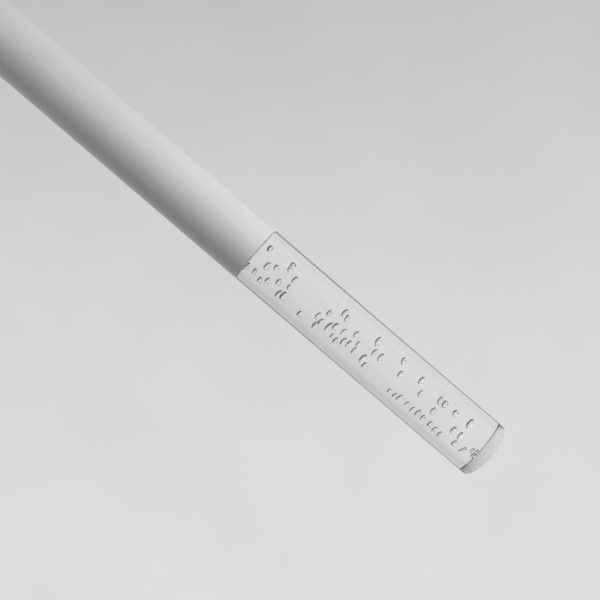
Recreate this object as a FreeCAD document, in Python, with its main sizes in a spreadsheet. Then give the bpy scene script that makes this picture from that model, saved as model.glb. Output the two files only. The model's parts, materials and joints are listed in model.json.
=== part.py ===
"""Tube pendant lamp with a clear bubbled light column: a parametric FreeCAD model.

The lamp hangs along Z. The origin is the centre of the cord seal's upper face, where the gland
grips the cord, and everything else lies below it, apart from the gland's clamp nut.
Sizes are millimetres. Threads are drawn as plain cylinders with a small flank allowance.
"""
import FreeCAD, Part
import math
import os

import Sketcher

# Driving dimensions: alias in the sheet, value, and what it measures.
DIMENSIONS = [
    ("tube_radius", 20, "outside of the tube, the cap and the light column"),
    ("bore_radius", 18.5, "inside of the tube"),
    ("tube_length", 285, "length of the tube"),
    ("joint_slack", 0.1, "radial gap of a piece that is bonded or screwed inside the tube"),
    ("thread_gap", 0.25, "radial gap between two mating threads"),
    ("cap_drop", 13.6, "from the origin down to the cap's top face"),
    ("cap_thickness", 3, "disc of the cap"),
    ("cap_bevel", 0.8, "bevel round the cap's top edge"),
    ("cap_ring_depth", 12, "ring of the cap inside the tube"),
    ("cap_ring_inside", 15.5, "inner radius of that ring"),
    ("cap_hole", 5.15, "radius of the gland's hole in the cap"),
    ("grub_count", 3, "grub screws round the cap"),
    ("grub_radius", 1.45, "M3 grub screw"),
    ("grub_drop", 6.4, "from the tube's upper end down to the grub screws"),
    ("cut_margin", 1, "how far a cut through the tube's wall runs past it"),
    ("tube_grub_hole", 1.6, "radius of the tube's holes for them"),
    ("cap_grub_hole", 1.5, "radius of the cap ring's holes for them"),
    ("grub_inner", 15.6, "inner end of a grub screw, from the lamp's axis"),
    ("grub_outer", 19.8, "outer end of a grub screw, from the lamp's axis"),
    ("grub_socket", 0.75, "radius of a grub screw's socket"),
    ("grub_socket_depth", 1.2, "depth of that socket"),
    ("seal_inside", 3.1, "radius of the seal's bore, the size of the cord"),
    ("seal_outside", 4.45, "outer radius of the seal"),
    ("seal_length", 7, "length of the seal"),
    ("pocket_radius", 4.55, "seal's pocket in the gland body"),
    ("gland_bore", 3.4, "cord bore of the gland body"),
    ("gland_thread", 5.9, "upper thread of the gland body"),
    ("gland_stem", 5, "lower thread of the gland body, M10"),
    ("gland_rim_drop", 1, "from the origin down to the gland body's rim"),
    ("gland_flange", 8, "radius of the gland's flange"),
    ("gland_flange_drop", 9.6, "from the origin down to the flange's top"),
    ("gland_washer_thickness", 1, "flat seal under the flange"),
    ("gland_washer_outside", 7.6, "its outer radius"),
    ("gland_depth", 25, "from the origin down to the stem's end"),
    ("ring_thickness", 0.8, "thrust ring"),
    ("ring_inside", 3.3, "inner radius of the thrust ring"),
    ("ring_outside", 5.7, "outer radius of the thrust ring"),
    ("nut_radius", 7.6, "outside of the clamp nut"),
    ("nut_lid", 1.6, "lid of the clamp nut"),
    ("nut_mouth", 3.3, "cord hole in the nut's lid"),
    ("nut_skirt", 10, "from the lid's inside down to the nut's lower edge"),
    ("nut_bevel", 1, "bevel round the nut's top"),
    ("flute_count", 16, "grip flutes round the nut"),
    ("flute_radius", 0.7, "radius of one flute"),
    ("flute_length", 7, "length of one flute"),
    ("locknut_flats", 14, "across the locknut's flats"),
    ("locknut_thickness", 3, "thickness of the locknut"),
    ("locknut_bore", 5.1, "radius of the locknut's bore"),
    ("strip_thickness", 1.2, "chassis strip"),
    ("strip_width", 20, "width of the strip"),
    ("strip_length", 173.4, "from the cap's underside to the strip's lower end"),
    ("strip_back", 11.2, "from the lamp's axis back to the strip's rear face"),
    ("screw_reach", 4, "depth of a screw hole in a plastic piece"),
    ("strip_tab", 8, "from the lamp's axis forward to the tab's front edge"),
    ("screw_shank", 1.45, "M3 screw"),
    ("screw_head", 2.6, "radius of a pan head"),
    ("screw_head_height", 1.8, "height of a pan head"),
    ("screw_slot", 0.7, "width of a screw's slot"),
    ("slot_margin", 0.3, "how far a slot's cut runs past its screw"),
    ("screw_spare", 0.2, "empty depth below a screw's end"),
    ("screw_hole", 1.5, "threaded hole for an M3 screw"),
    ("clear_hole", 1.7, "clearance hole for an M3 screw"),
    ("earth_reach", 11.6, "from the lamp's axis to the earth screw"),
    ("tag_thickness", 0.6, "earth tag"),
    ("tag_outside", 3, "radius of the tag's ring"),
    ("tag_tail", 8, "length of the tag's tail"),
    ("tag_tail_width", 3, "width of the tag's tail"),
    ("earth_screw_depth", 2.4, "how far the earth screw goes into the cap"),
    ("wire_radius", 0.9, "an insulated wire"),
    ("wire_hole", 1.3, "a hole for one wire"),
    ("lead_side", 12, "sideways place of the earth lead's upright stretch"),
    ("lead_front", 4, "forward place of that stretch"),
    ("lead_entry", 4.7, "how far a lead goes into the terminal block"),
    ("lead_exit", 4.5, "from the block's lower end down to the earth lead's sideways stretch"),
    ("lead_rise", 20, "from the block's lower end up to the earth lead's upper bend"),
    ("lead_tail", 8, "last stretch of the earth lead below the tag"),
    ("tag_grip", 1.5, "from the end of the tag's tail in to the earth lead"),
    ("lead_straight", 25, "straight stretch of an LED lead below the driver board"),
    ("wire_plane", 4.2, "from the lamp's axis back to the wires and the board's middle"),
    ("block_drop", 21.4, "from the cap's underside to the terminal block's top"),
    ("block_height", 14, "terminal block along the lamp"),
    ("block_width", 16, "terminal block across"),
    ("block_depth", 11, "terminal block front to back"),
    ("pole_pitch", 5, "between two poles of the block"),
    ("pole_screw_pitch", 6, "between a pole's two screws"),
    ("pole_screw_radius", 1.4, "a terminal screw"),
    ("pole_screw_length", 3.8, "its length"),
    ("pole_screw_hole", 1.5, "radius of its hole"),
    ("case_drop", 45.4, "from the cap's underside to the driver case's top"),
    ("case_length", 96, "driver case along the lamp"),
    ("case_width", 22, "driver case across"),
    ("case_depth", 16.5, "driver tray front to back"),
    ("case_wall", 1.5, "wall of the driver case"),
    ("lid_lip", 1.2, "lip of the lid inside the tray"),
    ("lid_play", 0.2, "gap round that lip"),
    ("rib_place", 4, "from the case's end to a board rib"),
    ("rib_width", 3, "width of a board rib"),
    ("boss_radius", 3, "screw boss in the tray"),
    ("boss_height", 2.3, "height of the boss"),
    ("driver_screw_inset", 18, "from the case's end to a driver screw"),
    ("driver_screw_reach", 4.6, "shank of a driver screw"),
    ("board_thickness", 1.6, "driver board"),
    ("board_width", 18.6, "driver board across"),
    ("board_length", 90, "driver board along the lamp"),
    ("choke_radius", 5, "toroid choke"),
    ("choke_hole", 2.2, "its hole"),
    ("choke_height", 5, "its height"),
    ("choke_place", 17, "from the board's top edge to the choke"),
    ("core_size", 14, "transformer core, both ways"),
    ("core_height", 8, "transformer, off the board"),
    ("core_notch", 2, "depth of the core's side notches"),
    ("core_place", 45, "from the board's top edge to the transformer"),
    ("can_radius", 4, "capacitor can"),
    ("can_length", 18, "its length"),
    ("can_offset", 3, "sideways place of the can"),
    ("can_place", 59, "from the board's top edge to the can"),
    ("can_bevel", 0.5, "bevel at the can's ends"),
    ("sink_height", 39.6, "from the tube's lower end up to the heat sink's face"),
    ("sink_disc", 8, "thickness of the heat sink's disc"),
    ("sink_core", 7, "radius of its core"),
    ("sink_fin_length", 22, "length of its fins"),
    ("sink_fin_thickness", 1.6, "thickness of a fin"),
    ("sink_fin_count", 8, "fins"),
    ("sink_lead_bend", 3, "from the fins up to an LED lead's last bend"),
    ("sink_wire_radius", 12.5, "from the lamp's axis to a wire hole"),
    ("led_screw_place", 11.5, "from the lamp's axis to an LED screw"),
    ("led_screw_depth", 6, "depth of its hole in the heat sink"),
    ("pad_thickness", 0.5, "thermal pad"),
    ("led_board_radius", 15, "LED board"),
    ("led_board_thickness", 1.6, "LED board"),
    ("emitter_radius", 7, "base of the emitter"),
    ("emitter_base", 1, "thickness of that base"),
    ("phosphor_radius", 5.5, "lit disc"),
    ("phosphor_height", 0.5, "height of the lit disc"),
    ("reflector_height", 23, "reflector along the lamp"),
    ("reflector_rim", 4, "rim that stands round the LED board"),
    ("reflector_rim_wall", 1.2, "wall of that rim"),
    ("reflector_throat", 8, "radius of the reflector's throat"),
    ("reflector_mouth", 15.4, "radius of the reflector's mouth"),
    ("insert_length", 13.6, "threaded insert"),
    ("insert_bore", 16, "radius of its thread"),
    ("gasket_thickness", 0.6, "flat ring between tube and column"),
    ("gasket_inside", 16.2, "inner radius of that ring"),
    ("gasket_outside", 19.6, "outer radius of that ring"),
    ("column_length", 195.4, "clear column below its shoulder"),
    ("column_bevel", 0.6, "broken edges of the column"),
    ("spigot_radius", 14, "spigot of the column"),
    ("spigot_length", 14, "length of the spigot"),
    ("sleeve_length", 11, "thread sleeve on the spigot"),
    ("sleeve_lift", 1.2, "from the shoulder up to the sleeve"),
    ("bond_gap", 0.05, "glue line between the sleeve and the spigot"),
]

doc = FreeCAD.newDocument("tube_pendant")
sheet = doc.addObject("Spreadsheet::Sheet", "dims")
for row, (alias, number, meaning) in enumerate(DIMENSIONS, start=1):
    sheet.set(f"A{row}", meaning)
    sheet.set(f"B{row}", str(number))
    sheet.setAlias(f"B{row}", alias)
doc.recompute()

# Levels along the lamp, as expressions of the sheet. Zero is the origin, up is positive.
CAP_TOP = "-dims.cap_drop"
CAP_UNDERSIDE = "-dims.cap_drop - dims.cap_thickness"
TUBE_END = f"{CAP_UNDERSIDE} - dims.tube_length"
SHOULDER = f"{TUBE_END} - dims.gasket_thickness"
COLUMN_END = f"{SHOULDER} - dims.column_length"
SINK_FACE = f"{TUBE_END} + dims.sink_height"
LED_BOARD_TOP = f"{SINK_FACE} - dims.pad_thickness"
LED_BOARD_FACE = f"{LED_BOARD_TOP} - dims.led_board_thickness"
BLOCK_TOP = f"{CAP_UNDERSIDE} - dims.block_drop"
CASE_TOP = f"{CAP_UNDERSIDE} - dims.case_drop"
STRIP_FRONT = "dims.strip_thickness - dims.strip_back"
BOARD_TOP = f"{CASE_TOP} - (dims.case_length - dims.board_length) / 2"
BOARD_FRONT = "dims.board_thickness / 2 - dims.wire_plane"
# From the strip's front face forward to the wires, and the sideways places of the block's poles.
WIRE_LIFT = "dims.strip_back - dims.strip_thickness - dims.wire_plane"
POLES = ["-dims.pole_pitch", "0", "dims.pole_pitch"]
# Share of a lead's shorter run that its bend may take up.
LEAD_BEND = 0.45
SPIN = "V_Axis"
# A piece that lies on the chassis strip is drawn flat, then turned so that its top looks forward (+Y).
LYING = FreeCAD.Rotation(FreeCAD.Vector(1, 0, 0), -90)
sub_parts = []


def value(expression):
    """The number that an expression of the sheet gives."""
    return float(sheet.evalExpression(expression))


def new_body(label, x="0", y="0", z="0", rotation=None):
    """An empty body at a place bound to the sheet."""
    body = doc.addObject("PartDesign::Body", label)
    body.Label = label
    if rotation is not None:
        body.Placement = FreeCAD.Placement(FreeCAD.Vector(), rotation)
    for axis, expression in (("x", x), ("y", y), ("z", z)):
        if expression != "0":
            body.setExpression(f"Placement.Base.{axis}", expression)
    sub_parts.append(body)
    return body


def origin_feature(body, role):
    """One of a body's own origin planes or axes."""
    return next(f for f in body.Origin.OriginFeatures if f.Role == role)


def new_sketch(body, name, role="XY_Plane", lift="0"):
    """An empty sketch on one of the body's own planes, lifted off it by an expression."""
    sketch = body.newObject("Sketcher::SketchObject", name)
    sketch.AttachmentSupport = [(origin_feature(body, role), "")]
    sketch.MapMode = "FlatFace"
    if lift != "0":
        sketch.setExpression("AttachmentOffset.Base.z", lift)
    return sketch


def pin_point(sketch, geometry, point, x, y):
    """Bind a point of a sketch to its place; a zero puts it on the axis."""
    for kind, expression, axis in (("DistanceX", x, -2), ("DistanceY", y, -1)):
        if expression == "0":
            sketch.addConstraint(Sketcher.Constraint("PointOnObject", geometry, point, axis))
            continue
        constraint = Sketcher.Constraint(kind, -1, 1, geometry, point, value(expression))
        index = sketch.addConstraint(constraint)
        sketch.setExpression(f"Constraints[{index}]", expression)


def outline(sketch, points):
    """A closed outline of straight lines through points given as pairs of expressions."""
    places = [FreeCAD.Vector(value(x), value(y), 0) for x, y in points]
    count = len(points)
    first = sketch.GeometryCount
    for i in range(count):
        sketch.addGeometry(Part.LineSegment(places[i], places[(i + 1) % count]), False)
    for i in range(count):
        following = first + (i + 1) % count
        sketch.addConstraint(Sketcher.Constraint("Coincident", first + i, 2, following, 1))
    for i, (x, y) in enumerate(points):
        pin_point(sketch, first + i, 1, x, y)


def circle(sketch, x, y, radius):
    """A circle whose centre and radius are bound to the sheet."""
    centre = FreeCAD.Vector(value(x), value(y), 0)
    shape = Part.Circle(centre, FreeCAD.Vector(0, 0, 1), value(radius))
    geometry = sketch.addGeometry(shape, False)
    pin_point(sketch, geometry, 3, x, y)
    index = sketch.addConstraint(Sketcher.Constraint("Radius", geometry, value(radius)))
    sketch.setExpression(f"Constraints[{index}]", radius)


def rectangle(sketch, low_x, low_y, high_x, high_y):
    """A closed rectangle between two corners given as expressions."""
    outline(sketch, [(low_x, low_y), (high_x, low_y), (high_x, high_y), (low_x, high_y)])


def revolve(body, sketch, name, axis=SPIN):
    """Turn a sketch all the way round its own axis."""
    feature = body.newObject("PartDesign::Revolution", name)
    feature.Profile = (sketch, [""])
    feature.ReferenceAxis = (sketch, [axis])
    feature.Angle = 360
    return feature


def pad(body, sketch, name, length):
    """Raise a sketch along its normal."""
    feature = body.newObject("PartDesign::Pad", name)
    feature.Profile = (sketch, [""])
    feature.setExpression("Length", length)
    return feature


def cut(body, sketch, name, length, downward=True):
    """Cut a sketch into the body to a depth, against or along its normal, and prove that it cuts."""
    doc.recompute()
    before = body.Shape.Volume
    feature = body.newObject("PartDesign::Pocket", name)
    feature.Profile = (sketch, [""])
    feature.setExpression("Length", length)
    feature.Reversed = not downward
    doc.recompute()
    assert body.Shape.Volume < before, f"{body.Label}: {name} cuts nothing"
    return feature


def repeat_round(body, feature, count):
    """Repeat a feature evenly round the body's Z axis."""
    pattern = body.newObject("PartDesign::PolarPattern", f"{feature.Name}_round")
    pattern.Originals = [feature]
    pattern.Axis = (origin_feature(body, "Z_Axis"), [""])
    pattern.Angle = 360
    pattern.setExpression("Occurrences", count)
    body.Tip = pattern
    return pattern


def turned(label, points, z="0", x="0", y="0", rotation=None):
    """A turned piece: an outline of (radius, height) spun round Z."""
    body = new_body(label, x, y, z, rotation)
    sketch = new_sketch(body, f"{label}_outline", "XZ_Plane")
    outline(sketch, points)
    revolve(body, sketch, f"{label}_turn")
    return body


def ring_outline(inside, outside, height):
    """The outline of a plain ring that stands on zero."""
    return [(inside, "0"), (outside, "0"), (outside, height), (inside, height)]


def round_holes(body, name, places, radius, depth, lift="0", downward=False):
    """Round holes into the body from a plane parallel to XY."""
    sketch = new_sketch(body, name, "XY_Plane", lift)
    for x, y in places:
        circle(sketch, x, y, radius)
    return cut(body, sketch, f"{name}_cut", depth, downward)


def make_tube():
    """The painted tube, with three holes for the cap's grub screws."""
    body = turned("outer_tube", ring_outline("dims.bore_radius", "dims.tube_radius", "dims.tube_length"),
                  z=TUBE_END)
    sketch = new_sketch(body, "grub_hole", "YZ_Plane")
    circle(sketch, "0", "dims.tube_length - dims.grub_drop", "dims.tube_grub_hole")
    hole = cut(body, sketch, "grub_hole_cut", "dims.tube_radius + dims.cut_margin", downward=False)
    repeat_round(body, hole, "dims.grub_count")


def make_cap():
    """The turned cap: a bevelled disc, a ring inside the tube, and holes for gland and screws."""
    ring = "dims.bore_radius - dims.joint_slack"
    top = "dims.cap_ring_depth + dims.cap_thickness"
    body = turned("top_cap", [
        ("dims.cap_ring_inside", "0"),
        (ring, "0"),
        (ring, "dims.cap_ring_depth"),
        ("dims.tube_radius", "dims.cap_ring_depth"),
        ("dims.tube_radius", f"{top} - dims.cap_bevel"),
        ("dims.tube_radius - dims.cap_bevel", top),
        ("dims.cap_hole", top),
        ("dims.cap_hole", "dims.cap_ring_depth"),
        ("dims.cap_ring_inside", "dims.cap_ring_depth"),
    ], z=f"{CAP_UNDERSIDE} - dims.cap_ring_depth")
    sketch = new_sketch(body, "cap_grub_hole", "YZ_Plane")
    circle(sketch, "0", "dims.cap_ring_depth - dims.grub_drop", "dims.cap_grub_hole")
    hole = cut(body, sketch, "cap_grub_hole_cut", "dims.tube_radius", downward=False)
    repeat_round(body, hole, "dims.grub_count")
    round_holes(body, "earth_hole", [("0", "dims.earth_reach")], "dims.screw_hole",
                "dims.earth_screw_depth", "dims.cap_ring_depth")


def make_cap_screws():
    """Three grub screws, each turned round a radius of the lamp, with a socket in its outer end."""
    body = new_body("cap_screws", z=f"{CAP_UNDERSIDE} - dims.grub_drop")
    sketch = new_sketch(body, "grub_outline", "XZ_Plane")
    outline(sketch, [
        ("dims.grub_inner", "0"),
        ("dims.grub_outer - dims.grub_socket_depth", "0"),
        ("dims.grub_outer - dims.grub_socket_depth", "dims.grub_socket"),
        ("dims.grub_outer", "dims.grub_socket"),
        ("dims.grub_outer", "dims.grub_radius"),
        ("dims.grub_inner", "dims.grub_radius"),
    ])
    screw = revolve(body, sketch, "grub_turn", "H_Axis")
    repeat_round(body, screw, "dims.grub_count")


def make_gland():
    """The cord gland: body, washer, locknut, seal, thrust ring and clamp nut."""
    rim = "dims.gland_depth - dims.gland_rim_drop"
    flange_top = "dims.gland_depth - dims.gland_flange_drop"
    flange_low = "dims.gland_depth - dims.cap_drop + dims.gland_washer_thickness"
    pocket = "dims.gland_depth - dims.seal_length"
    turned("gland_body", [
        ("dims.gland_bore", "0"),
        ("dims.gland_stem", "0"),
        ("dims.gland_stem", flange_low),
        ("dims.gland_flange", flange_low),
        ("dims.gland_flange", flange_top),
        ("dims.gland_thread", flange_top),
        ("dims.gland_thread", rim),
        ("dims.pocket_radius", rim),
        ("dims.pocket_radius", pocket),
        ("dims.gland_bore", pocket),
    ], z="-dims.gland_depth")
    turned("gland_washer",
           ring_outline("dims.cap_hole", "dims.gland_washer_outside", "dims.gland_washer_thickness"),
           z=CAP_TOP)
    turned("gland_seal", ring_outline("dims.seal_inside", "dims.seal_outside", "dims.seal_length"),
           z="-dims.seal_length")
    turned("gland_thrust_ring",
           ring_outline("dims.ring_inside", "dims.ring_outside", "dims.ring_thickness"))
    make_locknut()
    make_clamp_nut()


def make_locknut():
    """The hexagonal nut that holds the gland and the strip's tab under the cap."""
    body = new_body("gland_locknut",
                    z=f"{CAP_UNDERSIDE} - dims.strip_thickness - dims.locknut_thickness")
    sketch = new_sketch(body, "locknut_outline")
    half_side = "dims.locknut_flats / 2 * tan(30)"
    corner = "dims.locknut_flats / cos(30) / 2"
    half = "dims.locknut_flats / 2"
    outline(sketch, [
        (half, f"-{half_side}"),
        (half, half_side),
        ("0", corner),
        (f"-{half}", half_side),
        (f"-{half}", f"-{half_side}"),
        ("0", f"-{corner}"),
    ])
    circle(sketch, "0", "0", "dims.locknut_bore")
    pad(body, sketch, "locknut_pad", "dims.locknut_thickness")


def make_clamp_nut():
    """The clamp nut: a cup over the gland's upper thread, with grip flutes round it."""
    thread = "dims.gland_thread + dims.thread_gap"
    top = "dims.nut_skirt + dims.nut_lid"
    body = turned("gland_nut", [
        (thread, "0"),
        ("dims.nut_radius", "0"),
        ("dims.nut_radius", f"{top} - dims.nut_bevel"),
        ("dims.nut_radius - dims.nut_bevel", top),
        ("dims.nut_mouth", top),
        ("dims.nut_mouth", "dims.nut_skirt"),
        (thread, "dims.nut_skirt"),
    ], z="dims.ring_thickness - dims.nut_skirt")
    sketch = new_sketch(body, "flute_outline", lift="dims.nut_bevel")
    circle(sketch, "dims.nut_radius + dims.flute_radius / 2", "0", "dims.flute_radius")
    flute = cut(body, sketch, "flute_cut", "dims.flute_length", downward=False)
    repeat_round(body, flute, "dims.flute_count")


def make_strip():
    """The chassis strip: a bent sheet that hangs from the cap and carries block and driver."""
    body = new_body("chassis_strip", z=CAP_UNDERSIDE)
    profile = new_sketch(body, "strip_profile", "YZ_Plane", "-dims.strip_width / 2")
    outline(profile, [
        ("-dims.strip_back", "0"),
        ("-dims.strip_back", "-dims.strip_length"),
        (STRIP_FRONT, "-dims.strip_length"),
        (STRIP_FRONT, "-dims.strip_thickness"),
        ("dims.strip_tab", "-dims.strip_thickness"),
        ("dims.strip_tab", "0"),
    ])
    pad(body, profile, "strip_pad", "dims.strip_width")
    round_holes(body, "tab_hole", [("0", "0")], "dims.cap_hole", "dims.strip_thickness", downward=True)
    holes = new_sketch(body, "strip_holes", "XZ_Plane", "dims.strip_back")
    for place in driver_screw_levels():
        circle(holes, "0", f"-({place})", "dims.clear_hole")
    circle(holes, "dims.pole_pitch / 2", f"-({block_screw_level()})", "dims.clear_hole")
    cut(body, holes, "strip_hole_cut", "dims.strip_thickness")


def driver_screw_levels():
    """How far below the cap's underside the two driver screws are."""
    return ["dims.case_drop + dims.driver_screw_inset",
            "dims.case_drop + dims.case_length - dims.driver_screw_inset"]


def block_screw_level():
    """How far below the cap's underside the terminal block's fixing screw is."""
    return "dims.block_drop + dims.block_height / 2"


def pan_screws(label, places, shank, x="0", y="0", z="0", rotation=None):
    """Slotted pan-head screws side by side: heads below the body's zero, shanks above it."""
    body = new_body(label, x, y, z, rotation)
    for name, radius, length, below in (
        ("head", "dims.screw_head", "dims.screw_head_height", True),
        ("shank", "dims.screw_shank", shank, False),
    ):
        sketch = new_sketch(body, f"{label}_{name}")
        for place_x, place_y in places:
            circle(sketch, place_x, place_y, radius)
        pad(body, sketch, f"{label}_{name}_pad", length).Reversed = below
    slots = new_sketch(body, f"{label}_slots", lift="-dims.screw_head_height")
    for place_x, place_y in places:
        rectangle(slots,
                  f"{place_x} - dims.screw_head - dims.slot_margin", f"{place_y} - dims.screw_slot / 2",
                  f"{place_x} + dims.screw_head + dims.slot_margin", f"{place_y} + dims.screw_slot / 2")
    cut(body, slots, f"{label}_slot_cut", "dims.screw_head_height / 2", downward=False)


def make_earth():
    """The earth tag under the cap, with the screw that holds it."""
    body = new_body("earth_tag", y="dims.earth_reach", z=f"{CAP_UNDERSIDE} - dims.tag_thickness")
    sketch = new_sketch(body, "tag_ring")
    circle(sketch, "0", "0", "dims.tag_outside")
    pad(body, sketch, "tag_ring_pad", "dims.tag_thickness")
    tail = new_sketch(body, "tag_tail")
    rectangle(tail, "-dims.tag_tail", "-dims.tag_tail_width / 2", "-dims.tag_outside / 2",
              "dims.tag_tail_width / 2")
    pad(body, tail, "tag_tail_pad", "dims.tag_thickness")
    round_holes(body, "tag_hole", [("0", "0")], "dims.clear_hole", "dims.tag_thickness")
    pan_screws("earth_screw", [("0", "0")], "dims.tag_thickness + dims.earth_screw_depth - dims.screw_spare",
               y="dims.earth_reach", z=f"{CAP_UNDERSIDE} - dims.tag_thickness")


def pole_screw_places():
    """The places of the terminal screws, two to each pole, on the lying block."""
    middle = "dims.block_height / 2"
    step = "dims.pole_screw_pitch / 2"
    return [(x, f"{middle} {side} {step}") for x in POLES for side in ("-", "+")]


def make_terminal_block():
    """The three-pole terminal block, its clamping screws and its fixing screw."""
    body = new_body("terminal_block", y=STRIP_FRONT, z=BLOCK_TOP, rotation=LYING)
    sketch = new_sketch(body, "block_outline")
    rectangle(sketch, "-dims.block_width / 2", "0", "dims.block_width / 2", "dims.block_height")
    pad(body, sketch, "block_pad", "dims.block_depth")
    wires = new_sketch(body, "block_wires", "XZ_Plane")
    for x in POLES:
        circle(wires, x, WIRE_LIFT, "dims.wire_hole")
    cut(body, wires, "block_wire_cut", "dims.block_height")
    round_holes(body, "block_screws", pole_screw_places(), "dims.pole_screw_hole",
                f"dims.block_depth - ({WIRE_LIFT})", "dims.block_depth", downward=True)
    fixing = [("dims.pole_pitch / 2", "dims.block_height / 2")]
    round_holes(body, "block_fixing", fixing, "dims.screw_hole", "dims.screw_reach")
    pan_screws("terminal_fixing_screw", [("dims.pole_pitch / 2", "0")],
               "dims.strip_thickness + dims.screw_reach - dims.screw_spare",
               y="-dims.strip_back", z=f"{CAP_UNDERSIDE} - ({block_screw_level()})", rotation=LYING)

    screws = new_body("terminal_screws", y=f"{STRIP_FRONT} + {WIRE_LIFT} + dims.wire_radius",
                      z=BLOCK_TOP, rotation=LYING)
    sketch = new_sketch(screws, "pole_screw_outline")
    slots = new_sketch(screws, "pole_screw_slots", lift="dims.pole_screw_length")
    for x, y in pole_screw_places():
        circle(sketch, x, y, "dims.pole_screw_radius")
        rectangle(slots,
                  f"{x} - dims.pole_screw_radius - dims.slot_margin", f"{y} - dims.screw_slot / 2",
                  f"{x} + dims.pole_screw_radius + dims.slot_margin", f"{y} + dims.screw_slot / 2")
    pad(screws, sketch, "pole_screw_pad", "dims.pole_screw_length")
    cut(screws, slots, "pole_screw_slot_cut", "dims.screw_slot")


def make_driver_case():
    """The driver's tray with ribs, bosses and wire holes, its lid, and the two screws behind it."""
    half = "dims.case_width / 2"
    body = new_body("driver_case", y=STRIP_FRONT, z=CASE_TOP, rotation=LYING)
    sketch = new_sketch(body, "tray_outline")
    rectangle(sketch, f"-{half}", "0", half, "dims.case_length")
    pad(body, sketch, "tray_pad", "dims.case_depth")
    hollow = new_sketch(body, "tray_hollow", lift="dims.case_depth")
    rectangle(hollow, f"dims.case_wall - {half}", "dims.case_wall",
              f"{half} - dims.case_wall", "dims.case_length - dims.case_wall")
    cut(body, hollow, "tray_hollow_cut", "dims.case_depth - dims.case_wall")

    ends = [("dims.rib_place", "dims.rib_place + dims.rib_width"),
            ("dims.case_length - dims.rib_place - dims.rib_width", "dims.case_length - dims.rib_place")]
    ribs = new_sketch(body, "tray_ribs", lift="dims.case_wall")
    for low, high in ends:
        rectangle(ribs, f"dims.case_wall - {half}", low, f"{half} - dims.case_wall", high)
    pad(body, ribs, "tray_rib_pad", f"{WIRE_LIFT} - dims.board_thickness / 2 - dims.case_wall")

    seats = [("0", "dims.driver_screw_inset"), ("0", "dims.case_length - dims.driver_screw_inset")]
    bosses = new_sketch(body, "tray_bosses", lift="dims.case_wall")
    for x, y in seats:
        circle(bosses, x, y, "dims.boss_radius")
    pad(body, bosses, "tray_boss_pad", "dims.boss_height")
    round_holes(body, "tray_screw_holes", seats, "dims.screw_hole", "dims.case_wall + dims.boss_height")

    entry = new_sketch(body, "mains_entry", "XZ_Plane")
    for x in POLES[1:]:
        circle(entry, x, WIRE_LIFT, "dims.wire_hole")
    cut(body, entry, "mains_entry_cut", "dims.case_wall")
    leaving = new_sketch(body, "led_exit", "XZ_Plane", "-dims.case_length")
    for x in (POLES[0], POLES[2]):
        circle(leaving, x, WIRE_LIFT, "dims.wire_hole")
    cut(body, leaving, "led_exit_cut", "dims.case_wall", downward=False)

    pan_screws("driver_screws", [("0", level) for level in driver_screw_levels()],
               "dims.driver_screw_reach", y="-dims.strip_back", z=CAP_UNDERSIDE, rotation=LYING)

    lid = new_body("driver_lid", y=f"{STRIP_FRONT} + dims.case_depth", z=CASE_TOP, rotation=LYING)
    sketch = new_sketch(lid, "lid_outline")
    rectangle(sketch, f"-{half}", "0", half, "dims.case_length")
    pad(lid, sketch, "lid_pad", "dims.case_wall")
    lip = new_sketch(lid, "lid_lip")
    for inset in ("dims.case_wall + dims.lid_play", "dims.case_wall + dims.lid_play + dims.lid_lip"):
        rectangle(lip, f"{inset} - {half}", inset, f"{half} - ({inset})", f"dims.case_length - ({inset})")
    pad(lid, lip, "lid_lip_pad", "dims.lid_lip").Reversed = True


def make_driver_board():
    """The driver's circuit board with choke, transformer and capacitor."""
    half = "dims.board_width / 2"
    board = new_body("driver_board", y=f"{BOARD_FRONT} - dims.board_thickness", z=BOARD_TOP,
                     rotation=LYING)
    sketch = new_sketch(board, "board_outline")
    rectangle(sketch, f"-{half}", "0", half, "dims.board_length")
    pad(board, sketch, "board_pad", "dims.board_thickness")
    turned("driver_choke", ring_outline("dims.choke_hole", "dims.choke_radius", "dims.choke_height"),
           y=BOARD_FRONT, z=f"{BOARD_TOP} - dims.choke_place", rotation=LYING)

    size = "dims.core_size / 2"
    waist = f"{size} - dims.core_notch"
    core = new_body("driver_transformer", y=BOARD_FRONT, z=f"{BOARD_TOP} - dims.core_place", rotation=LYING)
    sketch = new_sketch(core, "core_outline")
    right = [(size, f"-{size}"), (size, f"-{size} / 2"), (waist, f"-{size} / 2"),
             (waist, f"{size} / 2"), (size, f"{size} / 2"), (size, size)]
    left = [(f"-({x})", y) for x, y in reversed(right)]
    outline(sketch, right + left)
    pad(core, sketch, "core_pad", "dims.core_height")

    turned("driver_capacitor", [
        ("0", "0"),
        ("dims.can_radius - dims.can_bevel", "0"),
        ("dims.can_radius", "dims.can_bevel"),
        ("dims.can_radius", "dims.can_length - dims.can_bevel"),
        ("dims.can_radius - dims.can_bevel", "dims.can_length"),
        ("0", "dims.can_length"),
    ], x="-dims.can_offset", y=f"{BOARD_FRONT} + dims.can_radius + dims.joint_slack",
        z=f"{BOARD_TOP} - dims.can_place - dims.can_length")


def sink_wire_places():
    """Where the two LED wires pass the heat sink, halfway between two fins."""
    across = "dims.sink_wire_radius * cos(180 / dims.sink_fin_count)"
    back = "-dims.sink_wire_radius * sin(180 / dims.sink_fin_count)"
    return [(f"-{across}", back), (across, back)]


def led_screw_places():
    """Where the two LED screws sit."""
    return [("-dims.led_screw_place", "0"), ("dims.led_screw_place", "0")]


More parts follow.
